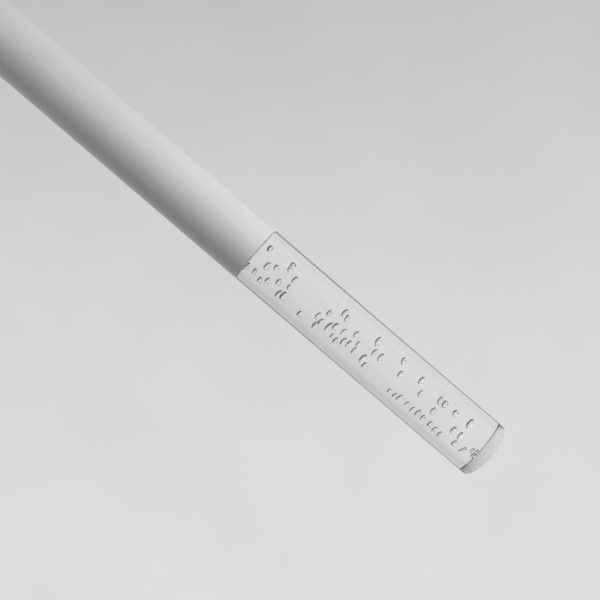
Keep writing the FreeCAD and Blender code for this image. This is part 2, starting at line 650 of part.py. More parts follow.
def make_heat_sink():
    """The heat sink: a disc in the tube, a core and fins above it, wire holes and screw holes."""
    rim = "dims.bore_radius - dims.joint_slack"
    top = "dims.sink_disc + dims.sink_fin_length"
    body = turned("heat_sink", [
        ("0", "0"),
        (rim, "0"),
        (rim, "dims.sink_disc"),
        ("dims.sink_core", "dims.sink_disc"),
        ("dims.sink_core", top),
        ("0", top),
    ], z=SINK_FACE)
    sketch = new_sketch(body, "fin_outline", lift="dims.sink_disc")
    rectangle(sketch, "dims.sink_core / 2", "-dims.sink_fin_thickness / 2",
              f"{rim} - dims.sink_fin_thickness / 2", "dims.sink_fin_thickness / 2")
    fin = pad(body, sketch, "fin_pad", "dims.sink_fin_length")
    repeat_round(body, fin, "dims.sink_fin_count")
    round_holes(body, "sink_wires", sink_wire_places(), "dims.wire_hole", "dims.sink_disc")
    round_holes(body, "sink_screws", led_screw_places(), "dims.screw_hole", "dims.led_screw_depth")


def make_light_source():
    """Thermal pad, LED board, emitter, the board's screws and the reflector."""
    layers = (
        ("thermal_pad", LED_BOARD_TOP, "dims.pad_thickness", sink_wire_places()),
        ("led_board", LED_BOARD_FACE, "dims.led_board_thickness", []),
    )
    for label, level, thickness, wires in layers:
        body = new_body(label, z=level)
        sketch = new_sketch(body, f"{label}_outline")
        circle(sketch, "0", "0", "dims.led_board_radius")
        for x, y in led_screw_places():
            circle(sketch, x, y, "dims.clear_hole")
        for x, y in wires:
            circle(sketch, x, y, "dims.wire_hole")
        pad(body, sketch, f"{label}_pad", thickness)
    turned("led_emitter", [
        ("0", "0"),
        ("dims.phosphor_radius", "0"),
        ("dims.phosphor_radius", "dims.phosphor_height"),
        ("dims.emitter_radius", "dims.phosphor_height"),
        ("dims.emitter_radius", "dims.phosphor_height + dims.emitter_base"),
        ("0", "dims.phosphor_height + dims.emitter_base"),
    ], z=f"{LED_BOARD_FACE} - dims.phosphor_height - dims.emitter_base")
    pan_screws("led_screws", led_screw_places(),
               "dims.led_board_thickness + dims.pad_thickness + dims.led_screw_depth - dims.screw_spare",
               z=LED_BOARD_FACE)
    rim = "dims.bore_radius - dims.joint_slack"
    seat = "dims.reflector_height - dims.reflector_rim"
    turned("reflector", [
        ("dims.reflector_mouth", "0"),
        (rim, "0"),
        (rim, "dims.reflector_height"),
        (f"{rim} - dims.reflector_rim_wall", "dims.reflector_height"),
        (f"{rim} - dims.reflector_rim_wall", seat),
        ("dims.reflector_throat", seat),
    ], z=f"{SINK_FACE} - dims.reflector_height")


def make_column():
    """The threaded insert in the tube, the gasket, the clear column and its thread sleeve."""
    turned("threaded_insert",
           ring_outline("dims.insert_bore", "dims.bore_radius - dims.joint_slack", "dims.insert_length"),
           z=TUBE_END)
    turned("junction_gasket",
           ring_outline("dims.gasket_inside", "dims.gasket_outside", "dims.gasket_thickness"),
           z=SHOULDER)
    turned("thread_sleeve",
           ring_outline("dims.spigot_radius + dims.bond_gap", "dims.insert_bore - dims.thread_gap",
                        "dims.sleeve_length"),
           z=f"{SHOULDER} + dims.sleeve_lift")
    turned("light_column", [
        ("0", "0"),
        ("dims.tube_radius - dims.column_bevel", "0"),
        ("dims.tube_radius", "dims.column_bevel"),
        ("dims.tube_radius", "dims.column_length - dims.column_bevel / 2"),
        ("dims.tube_radius - dims.column_bevel / 2", "dims.column_length"),
        ("dims.spigot_radius", "dims.column_length"),
        ("dims.spigot_radius", "dims.column_length + dims.spigot_length"),
        ("0", "dims.column_length + dims.spigot_length"),
    ], z=COLUMN_END)


def rounded_path(points):
    """Straight runs joined by tangent arcs, each as large as its two runs allow."""
    edges = []
    start = points[0]
    for before, corner, after in zip(points, points[1:], points[2:]):
        arriving = before - corner
        leaving = after - corner
        half_turn = (math.pi - arriving.getAngle(leaving)) / 2
        radius = LEAD_BEND * min(arriving.Length, leaving.Length) / math.tan(half_turn)
        reach = radius * math.tan(half_turn)
        arriving.normalize()
        leaving.normalize()
        arc_start = corner + arriving * reach
        arc_end = corner + leaving * reach
        inward = (arriving + leaving).normalize()
        middle = corner + inward * (radius / math.cos(half_turn) - radius)
        edges.append(Part.LineSegment(start, arc_start).toShape())
        edges.append(Part.Arc(arc_start, middle, arc_end).toShape())
        start = arc_end
    edges.append(Part.LineSegment(start, points[-1]).toShape())
    return Part.Wire(edges)


def make_leads(label, routes):
    """Insulated wires: a round section swept along each route, given as triples of expressions."""
    wires = []
    radius = value("dims.wire_radius")
    for route in routes:
        points = [FreeCAD.Vector(value(x), value(y), value(z)) for x, y, z in route]
        path = rounded_path(points)
        section = Part.Wire(Part.makeCircle(radius, points[0], points[1] - points[0]))
        lead = path.makePipeShell([section], True, True)
        expected = math.pi * radius ** 2 * path.Length
        assert abs(lead.Volume - expected) < 0.01 * expected, f"{label}: the sweep has a wrong volume"
        wires.append(lead)
    feature = doc.addObject("Part::Feature", label)
    feature.Label = label
    feature.Shape = wires[0] if len(wires) == 1 else Part.makeCompound(wires)
    sub_parts.append(feature)


def make_wiring():
    """The earth lead, the two mains leads and the two LED leads."""
    back = "-dims.wire_plane"
    block_end = f"{BLOCK_TOP} - dims.block_height"
    inside_block = f"{block_end} + dims.lead_entry"
    tag_face = f"{CAP_UNDERSIDE} - dims.tag_thickness"
    make_leads("earth_lead", [[
        (POLES[0], back, inside_block),
        (POLES[0], back, f"{block_end} - dims.lead_exit"),
        ("-dims.lead_side", "dims.lead_front", f"{block_end} - dims.lead_exit"),
        ("-dims.lead_side", "dims.lead_front", f"{block_end} + dims.lead_rise"),
        ("dims.tag_grip - dims.tag_tail", "dims.earth_reach", f"{tag_face} - dims.lead_tail"),
        ("dims.tag_grip - dims.tag_tail", "dims.earth_reach", tag_face),
    ]])
    make_leads("mains_leads", [[(x, back, inside_block), (x, back, BOARD_TOP)] for x in POLES[1:]])
    board_end = f"{BOARD_TOP} - dims.board_length"
    sink_back = f"{SINK_FACE} + dims.sink_disc + dims.sink_fin_length"
    make_leads("led_leads", [[
        (pole, back, board_end),
        (pole, back, f"{board_end} - dims.lead_straight"),
        (place_x, place_y, f"{sink_back} + dims.sink_lead_bend"),
        (place_x, place_y, LED_BOARD_TOP),
    ] for pole, (place_x, place_y) in zip((POLES[0], POLES[2]), sink_wire_places())])


def check_and_write():
    """Stop if anything failed to compute, then write each sub-part to its own file."""
    doc.recompute()
    for item in doc.Objects:
        assert not {"Invalid", "Error"} & set(item.State), f"{item.Label}: {item.State}"
    os.makedirs("parts", exist_ok=True)
    for part in sub_parts:
        assert not part.Shape.isNull() and part.Shape.isValid(), f"{part.Label}: bad shape"
        part.Shape.exportStep(os.path.join("parts", f"{part.Label}.step"))
        box = part.Shape.BoundBox
        print(f"{part.Label}: {len(part.Shape.Solids)} solid(s), {part.Shape.Volume:.0f} mm3, "
              f"z {box.ZMin:.1f} to {box.ZMax:.1f}")


make_tube()
make_cap()
make_cap_screws()
make_gland()
make_strip()
make_earth()
make_terminal_block()
make_driver_case()
make_driver_board()
make_heat_sink()
make_light_source()
make_column()
make_wiring()
check_and_write()
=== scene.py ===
"""A hanging tube lamp: a matt white tube over a solid, clear, bubbled acrylic light column."""
import json
import math
import random

import bmesh
import bpy
from mathutils import Matrix, Vector


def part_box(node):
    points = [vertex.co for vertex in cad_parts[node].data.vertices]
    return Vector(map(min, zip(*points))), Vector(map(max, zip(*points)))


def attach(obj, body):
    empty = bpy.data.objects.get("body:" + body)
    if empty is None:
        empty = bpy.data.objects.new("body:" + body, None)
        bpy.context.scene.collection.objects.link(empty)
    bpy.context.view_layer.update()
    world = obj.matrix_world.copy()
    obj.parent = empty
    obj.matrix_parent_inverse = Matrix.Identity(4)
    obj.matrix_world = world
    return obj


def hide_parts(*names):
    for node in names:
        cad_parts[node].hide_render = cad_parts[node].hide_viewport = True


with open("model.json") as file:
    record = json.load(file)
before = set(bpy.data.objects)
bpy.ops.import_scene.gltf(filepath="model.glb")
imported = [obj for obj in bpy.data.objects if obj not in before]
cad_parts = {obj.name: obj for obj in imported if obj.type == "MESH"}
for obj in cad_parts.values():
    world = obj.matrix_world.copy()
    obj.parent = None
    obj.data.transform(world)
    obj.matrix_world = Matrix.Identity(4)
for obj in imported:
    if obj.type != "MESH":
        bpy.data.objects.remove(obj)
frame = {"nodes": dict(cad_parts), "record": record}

# A new Blender file may already hold these.
for leftover in ("Cube", "Light", "Camera"):
    if leftover in bpy.data.objects:
        bpy.data.objects.remove(bpy.data.objects[leftover], do_unlink=True)
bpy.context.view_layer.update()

MM = 0.001
FULL_TURN = 2 * math.pi

# Levels and radii read from the frame.
TUBE_LOW, TUBE_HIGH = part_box("outer_tube")
GASKET_LOW, GASKET_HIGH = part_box("junction_gasket")
COLUMN_LOW, COLUMN_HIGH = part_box("light_column")
SLEEVE_LOW, SLEEVE_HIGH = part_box("thread_sleeve")
INSERT_LOW, INSERT_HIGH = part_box("threaded_insert")
GLAND_LOW, GLAND_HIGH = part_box("gland_body")
FLANGE_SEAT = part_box("gland_washer")[1].z
SEAL_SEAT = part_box("gland_seal")[0].z
RADIUS = TUBE_HIGH.x
SHOULDER = GASKET_LOW.z
JUNCTION = (GASKET_LOW.z + GASKET_HIGH.z) / 2
SLOT_COLOUR = {m["slot"]: tuple(m["base_color"][:3]) for m in frame["record"]["materials"]}
SLOT_OF = {part["node"]: part["material_slot"] for part in frame["record"]["subparts"]}


# ---------------------------------------------------------------- materials

class Nodes:
    """A material under construction, with short ways to add the usual nodes."""

    def __init__(self, name):
        self.material = bpy.data.materials.new(name)
        self.material.use_nodes = True
        self.tree = self.material.node_tree
        self.place = self.add("ShaderNodeTexCoord").outputs["Object"]

    def add(self, kind, **settings):
        node = self.tree.nodes.new(kind)
        for name, setting in settings.items():
            setattr(node, name, setting)
        return node

    def link(self, source, target):
        self.tree.links.new(source, target)

    def noise(self, scale, detail=4.0, roughness=0.5, vector=None):
        node = self.add("ShaderNodeTexNoise")
        node.inputs["Scale"].default_value = scale
        node.inputs["Detail"].default_value = detail
        node.inputs["Roughness"].default_value = roughness
        self.link(vector or self.place, node.inputs["Vector"])
        return node.outputs["Fac"]

    def between(self, factor, low, high, start=0.35, stop=0.65, curve="LINEAR"):
        """Map a factor from start..stop onto low..high."""
        node = self.add("ShaderNodeMapRange", interpolation_type=curve)
        node.inputs["From Min"].default_value = start
        node.inputs["From Max"].default_value = stop
        node.inputs["To Min"].default_value = low
        node.inputs["To Max"].default_value = high
        self.link(factor, node.inputs["Value"])
        return node.outputs["Result"]

    def vector_math(self, operation, first, second=None):
        """A vector operation on a socket and, where it takes one, a fixed second vector."""
        node = self.add("ShaderNodeVectorMath", operation=operation)
        self.link(first, node.inputs[0])
        if second is not None:
            node.inputs[1].default_value = second
        return node.outputs

    def combine(self, operation, first, second):
        """A math node on two sockets or plain numbers."""
        node = self.add("ShaderNodeMath", operation=operation)
        for socket, source in zip(node.inputs, (first, second)):
            if isinstance(source, (int, float)):
                socket.default_value = source
            else:
                self.link(source, socket)
        return node.outputs[0]


class Finish(Nodes):
    """A Principled material under construction."""

    def __init__(self, name):
        super().__init__(name)
        self.bsdf = self.tree.nodes["Principled BSDF"]

    def set(self, **values):
        """Plain values on the shader's own sockets: base_color becomes "Base Color"."""
        for name, number in values.items():
            words = name.replace("_", " ").title().replace("Ior", "IOR")
            self.bsdf.inputs[words].default_value = number

    def drive(self, **sockets):
        """Link node outputs to the shader's sockets by name."""
        for name, output in sockets.items():
            self.link(output, self.bsdf.inputs[name.replace("_", " ").title()])
        return self.material

    def stretched(self, scale):
        """Object coordinates scaled unevenly, for grain that runs one way."""
        node = self.add("ShaderNodeMapping")
        node.inputs["Scale"].default_value = scale
        self.link(self.place, node.inputs["Vector"])
        return node.outputs["Vector"]

    def colours(self, factor, first, second):
        """Mix two colours by a factor."""
        node = self.add("ShaderNodeMix", data_type="RGBA")
        node.inputs["A"].default_value = (*first, 1)
        node.inputs["B"].default_value = (*second, 1)
        self.link(factor, node.inputs["Factor"])
        return node.outputs["Result"]

    def blotched(self, factor, colour, darker, lighter):
        """A colour that drifts from a darker to a lighter shade of itself."""
        return self.colours(self.between(factor, 0, 1), shade(colour, darker), shade(colour, lighter))

    def bump(self, height, strength, distance, under=None):
        node = self.add("ShaderNodeBump")
        node.inputs["Strength"].default_value = strength
        node.inputs["Distance"].default_value = distance
        self.link(height, node.inputs["Height"])
        if under is not None:
            self.link(under, node.inputs["Normal"])
        return node.outputs["Normal"]


class Glow(Nodes):
    """A material that only gives light."""

    def finish(self, strength):
        self.tree.nodes.remove(self.tree.nodes["Principled BSDF"])
        emission = self.add("ShaderNodeEmission")
        emission.inputs["Color"].default_value = (1, 1, 1, 1)
        self.link(strength, emission.inputs["Strength"])
        self.link(emission.outputs[0], self.tree.nodes["Material Output"].inputs["Surface"])
        return self.material


def shade(colour, factor):
    """A colour made lighter or darker."""
    return tuple(min(1.0, channel * factor) for channel in colour)


def powder_coat(name, colour, roughness=0.6, grain=1700, depth=0.035 * MM):
    """Matt powder coat: a fine pebbled skin, slow changes of tone, handling marks and rubbed places."""
    s = Finish(name)
    slow = s.noise(scale=14, detail=3)
    rubbed = s.noise(scale=90, detail=6, roughness=0.65)
    smudge = s.noise(scale=26, detail=8, roughness=0.7, vector=s.stretched((1, 1, 0.35)))
    pebble = s.noise(scale=grain, detail=3, roughness=0.6)
    wave = s.noise(scale=380, detail=2)
    tone = s.add("ShaderNodeMix", data_type="RGBA")
    tone.inputs["B"].default_value = (*shade(colour, 0.93), 1)
    s.link(s.between(smudge, low=0.0, high=0.5, start=0.56, stop=0.74), tone.inputs["Factor"])
    s.link(s.blotched(slow, colour, darker=0.985, lighter=1.01), tone.inputs["A"])
    s.set(specular_ior_level=0.4)
    return s.drive(
        base_color=tone.outputs["Result"],
        roughness=s.between(rubbed, low=roughness - 0.1, high=roughness + 0.06),
        normal=s.bump(pebble, strength=0.35, distance=depth, under=s.bump(wave, 0.15, depth)),
    )


def moulded(name, colour, roughness=0.5, texture=1800):
    """Moulded plastic: a spark-eroded texture with faint flow marks."""
    s = Finish(name)
    flow = s.noise(scale=30, vector=s.stretched((1, 1, 0.2)))
    spark = s.noise(scale=texture, detail=3)
    return s.drive(
        base_color=s.blotched(flow, colour, darker=0.94, lighter=1.05),
        roughness=s.between(spark, low=roughness - 0.1, high=roughness + 0.08),
        normal=s.bump(spark, strength=0.3, distance=0.03 * MM),
    )


def turned_metal(name, colour, roughness=0.3, lines=9000):
    """Machined metal: fine turning lines round the axis and a little tarnish."""
    s = Finish(name)
    s.set(metallic=1.0)
    marks = s.noise(scale=1, detail=6, roughness=0.7, vector=s.stretched((60, 60, lines)))
    tarnish = s.noise(scale=160, detail=5, roughness=0.6)
    return s.drive(
        base_color=s.blotched(tarnish, colour, darker=0.86, lighter=1.04),
        roughness=s.between(marks, low=roughness - 0.08, high=roughness + 0.14),
        normal=s.bump(marks, strength=0.25, distance=0.02 * MM),
    )


def soft_rubber(name, colour, roughness=0.75):
    """Moulded rubber with a dusty bloom."""
    s = Finish(name)
    bloom = s.noise(scale=220, detail=6, roughness=0.7)
    skin = s.noise(scale=3000, detail=2)
    return s.drive(
        base_color=s.blotched(bloom, colour, darker=0.85, lighter=1.35),
        roughness=s.between(bloom, low=roughness - 0.12, high=roughness + 0.1),
        normal=s.bump(skin, strength=0.3, distance=0.02 * MM),
    )


def circuit_board(name, colour, copper):
    """Solder resist over copper tracks: the tracks show as a slightly raised, lighter pattern."""
    s = Finish(name)
    cells = s.add("ShaderNodeTexVoronoi", feature="DISTANCE_TO_EDGE", distance="MANHATTAN")
    cells.inputs["Scale"].default_value = 320
    s.link(s.place, cells.inputs["Vector"])
    track = s.between(cells.outputs["Distance"], low=1, high=0, start=0.08, stop=0.14)
    weave = s.noise(scale=2500, detail=2)
    cloth = s.bump(weave, strength=0.15, distance=0.02 * MM)
    return s.drive(
        base_color=s.colours(track, colour, copper),
        roughness=s.between(weave, low=0.28, high=0.42),
        normal=s.bump(track, strength=0.5, distance=0.05 * MM, under=cloth),
    )


def wound_wire(name, colour):
    """Varnished winding: close turns, with painted shade darkening the gaps between them."""
    s = Finish(name)
    turns = s.add("ShaderNodeTexWave", bands_direction="DIAGONAL")
    turns.inputs["Scale"].default_value = 420
    turns.inputs["Distortion"].default_value = 1.5
    s.link(s.place, turns.inputs["Vector"])
    stripe = turns.outputs["Fac"]
    s.set(coat_weight=0.6)
    # The colour drops to a quarter in the gaps between the turns: painted shade where the turns meet.
    return s.drive(
        base_color=s.colours(stripe, shade(colour, 0.25), colour),
        roughness=s.between(stripe, low=0.5, high=0.25, start=0.0, stop=1.0),
        normal=s.bump(stripe, strength=0.8, distance=0.2 * MM),
    )


def phosphor_gel(name, colour):
    """The emitter's yellow gel: cloudy grains in silicone."""
    s = Finish(name)
    grains = s.noise(scale=1500, roughness=0.7)
    s.set(coat_weight=0.5)
    return s.drive(
        base_color=s.blotched(grains, colour, darker=0.8, lighter=1.1),
        roughness=s.between(grains, low=0.3, high=0.5),
        normal=s.bump(grains, strength=0.2, distance=0.04 * MM),
    )


def clear_silicone(name, colour):
    """Translucent silicone: mostly white scatter with a soft sheen."""
    s = Finish(name)
    cloud = s.noise(scale=300)
    s.set(transmission_weight=0.35, ior=1.41)
    return s.drive(
        base_color=s.blotched(cloud, colour, darker=0.9, lighter=1.04),
        roughness=s.between(cloud, low=0.35, high=0.55),
        normal=s.bump(cloud, strength=0.2, distance=0.02 * MM),
    )


ACRYLIC_IOR = 1.49
# The sawn end face is satin, and the polish starts between these two heights above it.
SATIN_ROUGHNESS = 0.18
SATIN_START = 0.02 * MM
SATIN_STOP = 0.04 * MM


def clear_acrylic(name):
    """Polished cast acrylic: clear, faintly wavy from casting, with a satin lower end face."""
    s = Finish(name)
    s.set(base_color=(1, 1, 1, 1), transmission_weight=1.0, ior=ACRYLIC_IOR)
    height = s.add("ShaderNodeSeparateXYZ")
    s.link(s.place, height.inputs[0])
    face = COLUMN_LOW.z
    satin = s.between(height.outputs["Z"], low=SATIN_ROUGHNESS, high=0.0,
                      start=face + SATIN_START, stop=face + SATIN_STOP)
    swirl = s.noise(scale=45, detail=2, vector=s.stretched((1, 1, 0.35)))
    polish = s.noise(scale=700, detail=3)
    casting = s.bump(swirl, strength=0.10, distance=0.05 * MM)
    return s.drive(
        roughness=satin,
        normal=s.bump(polish, strength=0.04, distance=0.004 * MM, under=casting),
    )


# For each slot of the record: what makes its material, the material's name and any settings of its own.
FINISHES = {
    "white_paint": (powder_coat, "white_powder_coat", {}),
    "gland_metal": (powder_coat, "gland_lacquer", {"roughness": 0.42, "grain": 3400, "depth": 0.01 * MM}),
    "clear_silicone": (clear_silicone, "clear_silicone_rubber", {}),
    "seal_rubber": (soft_rubber, "black_rubber", {}),
    "thermal_grey": (soft_rubber, "thermal_pad_grey", {"roughness": 0.8}),
    "thrust_steel": (turned_metal, "turned_steel", {"roughness": 0.28}),
    "zinc_screws": (turned_metal, "zinc_plate", {"roughness": 0.35, "lines": 3000}),
    "brass_parts": (turned_metal, "stamped_brass", {"roughness": 0.3, "lines": 2500}),
    "strip_steel": (turned_metal, "rolled_sheet", {"roughness": 0.38, "lines": 400}),
    "sink_aluminium": (turned_metal, "milled_aluminium", {"roughness": 0.36}),
    "can_aluminium": (turned_metal, "drawn_can", {"roughness": 0.25, "lines": 1500}),
    "block_plastic": (moulded, "terminal_plastic", {"roughness": 0.45}),
    "case_plastic": (moulded, "driver_plastic", {"roughness": 0.55}),
    "reflector_white": (moulded, "reflector_plastic", {"roughness": 0.4, "texture": 900}),
    "transformer_black": (moulded, "ferrite_and_tape", {"roughness": 0.6, "texture": 700}),
    "earth_wire": (moulded, "green_insulation", {"roughness": 0.4, "texture": 1200}),
    "lead_wire": (moulded, "red_insulation", {"roughness": 0.4, "texture": 1200}),
    "board_green": (circuit_board, "green_circuit_board", {"copper": (0.1, 0.42, 0.16)}),
    "led_board_white": (circuit_board, "white_led_board", {"copper": (0.8, 0.8, 0.77)}),
    "choke_coil": (wound_wire, "copper_winding", {}),
    "phosphor": (phosphor_gel, "yellow_phosphor", {}),
}


def make_materials():
    """One material for each slot of the record, also given to the CAD nodes."""
    made = {"clear_acrylic": clear_acrylic("clear_cast_acrylic")}
    for slot, (maker, name, settings) in FINISHES.items():
        made[slot] = maker(name, SLOT_COLOUR[slot], **settings)
    for node, piece in frame["nodes"].items():
        for holder in piece.material_slots:
            holder.material = made[SLOT_OF[node]]
    return made


# ---------------------------------------------------------------- shapes

TURN_STEPS = 256
EDGE_STEPS = 6
CREASE = 30


def linked_object(name, solid, materials):
    """A new object in the scene with a bmesh's shape, shaded smooth."""
    mesh = bpy.data.meshes.new(name)
    solid.to_mesh(mesh)
    solid.free()
    mesh.polygons.foreach_set("use_smooth", [True] * len(mesh.polygons))
    for material in materials:
        mesh.materials.append(material)
    made = bpy.data.objects.new(name, mesh)
    bpy.context.scene.collection.objects.link(made)
    return made


def stand_in(name, solid, body, node, materials):
    """A piece with a bmesh's shape that rides a body and stands for one CAD node."""
    piece = linked_object(name, solid, [materials[SLOT_OF[node]]])
    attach(piece, body)
    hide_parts(node)
    return piece


def sharpen(piece, degrees=CREASE):
    """Keep crisp edges crisp: split the shading where faces meet at more than an angle."""
    edges = bmesh.new()
    edges.from_mesh(piece.data)
    for edge in edges.edges:
        if len(edge.link_faces) == 2 and edge.calc_face_angle() > math.radians(degrees):
            edge.smooth = False
    edges.to_mesh(piece.data)
    edges.free()


def rounded(corner_r, corner_z, size, start, stop, steps=EDGE_STEPS):
    """Points of a quarter round: centre (corner_r, corner_z), from start to stop degrees."""
    points = []
    for i in range(steps + 1):
        angle = math.radians(start + (stop - start) * i / steps)
        points.append((corner_r + size * math.cos(angle), corner_z + size * math.sin(angle)))
    return points


def ring_of(solid, radius, level, steps):
    """One ring of vertices. The radius may be a function of the angle. Radius 0 gives a single vertex."""
    if radius == 0:
        return [solid.verts.new((0, 0, level))]
    ring = []
    for i in range(steps):
        angle = FULL_TURN * i / steps
        reach = radius(angle) if callable(radius) else radius
        ring.append(solid.verts.new((reach * math.cos(angle), reach * math.sin(angle), level)))
    return ring


def spin(profile, closed, steps=TURN_STEPS):
    """A surface turned round Z. A profile that isn't closed starts and ends on the axis."""
    solid = bmesh.new()
    rings = [ring_of(solid, radius, level, steps) for radius, level in profile]
    pairs = list(zip(rings, rings[1:]))
    if closed:
        pairs.append((rings[-1], rings[0]))
    for low, high in pairs:
        for i in range(steps):
            j = (i + 1) % steps
            if len(low) == 1:
                solid.faces.new((low[0], high[j], high[i]))
            elif len(high) == 1:
                solid.faces.new((low[i], low[j], high[0]))
            else:
                solid.faces.new((low[i], low[j], high[j], high[i]))
    bmesh.ops.recalc_face_normals(solid, faces=solid.faces)
    return solid


# ---------------------------------------------------------------- the clear column and its bubbles

SPIGOT_RADIUS = 14 * MM
COLUMN_EDGE = 0.6 * MM
SHOULDER_EDGE = 0.3 * MM

BUBBLE_SEED = 7
BUBBLE_RADIUS = 1.95 * MM
BUBBLE_DEPTH = 5 * MM
BUBBLE_TRIES = 40
BUBBLE_FINENESS = 4
WIDEST = 1.2
# Where the larger bubbles lie in the cast column, as seen from the front through the round acrylic:
# millimetres below the shoulder, and millimetres to the right of the axis.
UPPER_CLUSTER = [(5, 9), (23, 8), (23, 10), (16, 2), (11, -1), (30, 4), (30, -2), (23, -4)]
UPPER_SIDE = [(7, -9), (1, -10), (13, -11), (17, -8), (28, -10), (31, -9)]
MIDDLE_CLUSTER = [(56, -4), (60, 2), (60, -6), (66, -5), (68, 9), (71, 7), (69, -2),
                  (75, -1), (79, -6), (82, 3), (83, -5), (87, -1), (88, -6),
                  (96, 9), (99, 2), (104, 2), (96, -6)]
MIDDLE_SIDE = [(46, -11), (59, -10), (61, -9), (71, -8), (75, -9), (73, -11), (99, -9)]
LOWER_SCATTER = [(116, 10), (120, 2), (134, 8), (138, 1), (151, 6), (154, 6), (152, -2),
                 (163, 6), (170, -3), (176, 7), (176, -3), (175, -9)]
END_CLUMP = [(182, -10), (184, -8), (188, -5), (190, -7), (191, -4)]
# A row of small bubbles along the left side, in the same millimetres.
ROW_START = 121
ROW_STOP = 165
ROW_COUNT = 10
ROW_SIDE = -10.2
# Size factors, and how far the row's bubbles stray from it in millimetres.
LARGE_SIZES = (0.85, 1.2)
ROW_SIZES = (0.7, 0.95)
CLUMP_SIZES = (0.6, 0.85)
ROW_STRAY_ALONG = (-0.7, 0.7)
ROW_STRAY_ACROSS = (-0.9, 0.7)
# How far a bubble may lean, in radians, and how its three axes are squeezed.
LEAN_SIDEWAYS = (-0.35, 0.35)
LEAN_FORWARD = (-0.3, 0.3)
WIDTHS = (1.0, WIDEST)
DEPTHS = (0.95, 1.1)
HEIGHTS = (0.82, 0.98)


def lens_factor(depth):
    """How much the round column widens what lies at a depth behind its axis."""
    inward = RADIUS + depth
    return ACRYLIC_IOR / (ACRYLIC_IOR - (ACRYLIC_IOR - 1) * inward / RADIUS)


def bubble_places(rng):
    """Each bubble's (below shoulder, side as seen, size factor)."""
    places = []
    for group in (UPPER_CLUSTER, UPPER_SIDE, MIDDLE_CLUSTER, MIDDLE_SIDE, LOWER_SCATTER):
        places += [(down, side, rng.uniform(*LARGE_SIZES)) for down, side in group]
    step = (ROW_STOP - ROW_START) / (ROW_COUNT - 1)
    for i in range(ROW_COUNT):
        down = ROW_START + step * i + rng.uniform(*ROW_STRAY_ALONG)
        side = ROW_SIDE + rng.uniform(*ROW_STRAY_ACROSS)
        places.append((down, side, rng.uniform(*ROW_SIZES)))
    places += [(down, side, rng.uniform(*CLUMP_SIZES)) for down, side in END_CLUMP]
    return places


def free_centre(rng, down, side, reach, kept):
    """A centre at a drawn depth, clear of the bubbles already kept, or None if no draw finds one."""
    for _ in range(BUBBLE_TRIES):
        depth = rng.uniform(-BUBBLE_DEPTH, BUBBLE_DEPTH)
        centre = Vector((side * MM / lens_factor(depth), depth, SHOULDER - down * MM))
        if all((centre - other).length > reach + other_reach for other, other_reach in kept):
            return centre
    return None


def add_bubbles(solid):
    """Cut air bubbles into the column: closed shells whose normals look into the air."""
    rng = random.Random(BUBBLE_SEED)
    kept = []
    for down, side, size in bubble_places(rng):
        radius = BUBBLE_RADIUS * size
        centre = free_centre(rng, down, side, radius * WIDEST, kept)
        if centre is None:
            continue
        kept.append((centre, radius * WIDEST))
        sideways = Matrix.Rotation(rng.uniform(*LEAN_SIDEWAYS), 4, "Y")
        forward = Matrix.Rotation(rng.uniform(*LEAN_FORWARD), 4, "X")
        squeeze = Matrix.Diagonal((rng.uniform(*WIDTHS), rng.uniform(*DEPTHS), rng.uniform(*HEIGHTS), 1))
        place = Matrix.Translation(centre) @ sideways @ forward @ squeeze
        shell = bmesh.ops.create_icosphere(solid, subdivisions=BUBBLE_FINENESS, radius=radius, matrix=place)
        faces = {face for vertex in shell["verts"] for face in vertex.link_faces}
        bmesh.ops.reverse_faces(solid, faces=list(faces))


def make_column(materials):
    """The clear column with its spigot, softly broken edges and bubbles."""
    low = COLUMN_LOW.z
    spigot_top = COLUMN_HIGH.z
    profile = [(0, low)]
    profile += rounded(RADIUS - COLUMN_EDGE, low + COLUMN_EDGE, COLUMN_EDGE, -90, 0)
    profile += rounded(RADIUS - SHOULDER_EDGE, SHOULDER - SHOULDER_EDGE, SHOULDER_EDGE, 0, 90)
    profile += [(SPIGOT_RADIUS, SHOULDER), (SPIGOT_RADIUS, spigot_top), (0, spigot_top)]
    solid = spin(profile, closed=False)
    add_bubbles(solid)
    sharpen(stand_in("clear_light_column", solid, "column", "light_column", materials))


# ---------------------------------------------------------------- the white tube

TUBE_BORE = 18.5 * MM
LOWER_EDGE = 0.45 * MM
UPPER_EDGE = LOWER_EDGE / 2
# The grub screw holes: how far below the tube's top, their radius and their number.
GRUB_DROP = 6.4 * MM
GRUB_HOLE = 1.6 * MM
GRUB_COUNT = 3
GRUB_STEPS = 48


def grub_drill():
    """Three short rods through the wall, where the holes for the grub screws go."""
    rods = bmesh.new()
    level = TUBE_HIGH.z - GRUB_DROP
    for i in range(GRUB_COUNT):
        turn = Matrix.Rotation(FULL_TURN * i / GRUB_COUNT, 4, "Z")
        place = Matrix.Translation((RADIUS, 0, level)) @ Matrix.Rotation(math.pi / 2, 4, "Y")
        bmesh.ops.create_cone(rods, cap_ends=True, segments=GRUB_STEPS, radius1=GRUB_HOLE,
                              radius2=GRUB_HOLE, depth=RADIUS / 2, matrix=turn @ place)
    mesh = bpy.data.meshes.new("grub_drill")
    rods.to_mesh(mesh)
    rods.free()
    drill = bpy.data.objects.new("grub_drill", mesh)
    bpy.context.scene.collection.objects.link(drill)
    return drill


